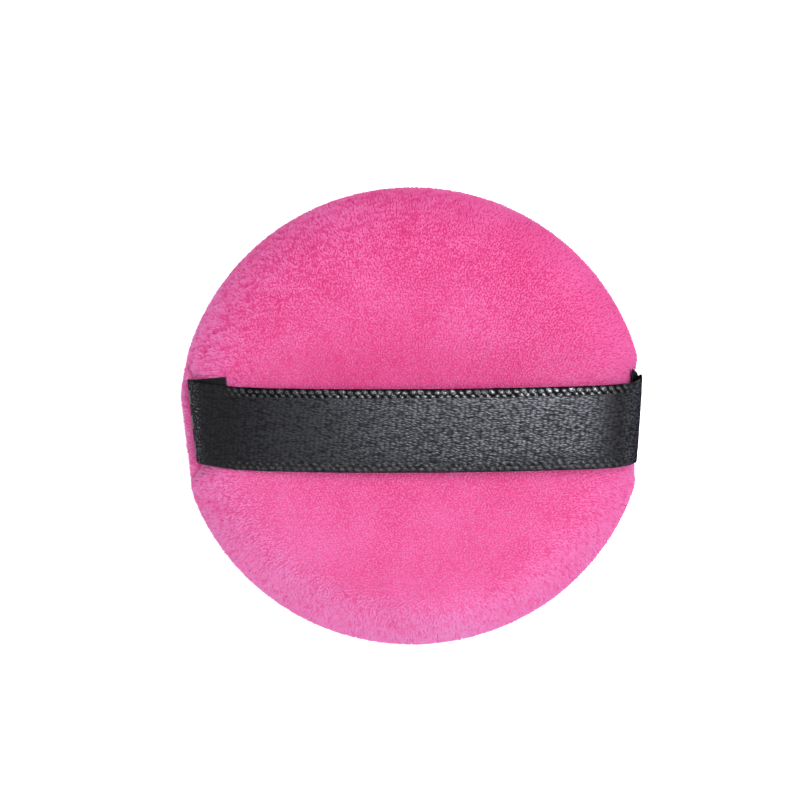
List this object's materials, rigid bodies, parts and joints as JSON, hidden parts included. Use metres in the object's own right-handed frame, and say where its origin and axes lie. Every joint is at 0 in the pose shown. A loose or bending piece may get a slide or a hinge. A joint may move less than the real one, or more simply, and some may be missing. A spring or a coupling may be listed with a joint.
{
  "type": "powder puff",
  "caption": "Round velour powder puff with a foam core and a satin ribbon finger strap across its back, sewn down at folded ends.",
  "frame": {"origin": "middle of the flat powder face, which the puff rests on", "axes": "+X along the ribbon strap, +Z out of the back where the strap is, +Y across the strap"},
  "size_m": [0.0808, 0.0804, 0.0209],
  "materials": {
    "velour": "short cut pile",
    "foam": "open-cell foam",
    "pink_thread": "spun thread",
    "satin_ribbon": "satin weave",
    "black_thread": "spun thread"
  },
  "bodies": {
    "puff": {"back_cover": "velour", "face_cover": "velour", "foam_core": "foam", "seam_needle_thread": "pink_thread", "seam_bobbin_thread": "pink_thread", "closing_thread": "pink_thread", "strap_left_end": "satin_ribbon", "strap_right_end": "satin_ribbon", "strap_tack_left": "black_thread", "strap_tack_right": "black_thread"},
    "strap": {"strap_span": "satin_ribbon"}
  },
  "joints": [
    {"name": "strap_lift", "type": "slide", "parent": "puff", "child": "strap", "axis": [0, 0, 1], "range_m": [-0.002, 0.006], "stiffness_N_per_m": 5}
  ]
}
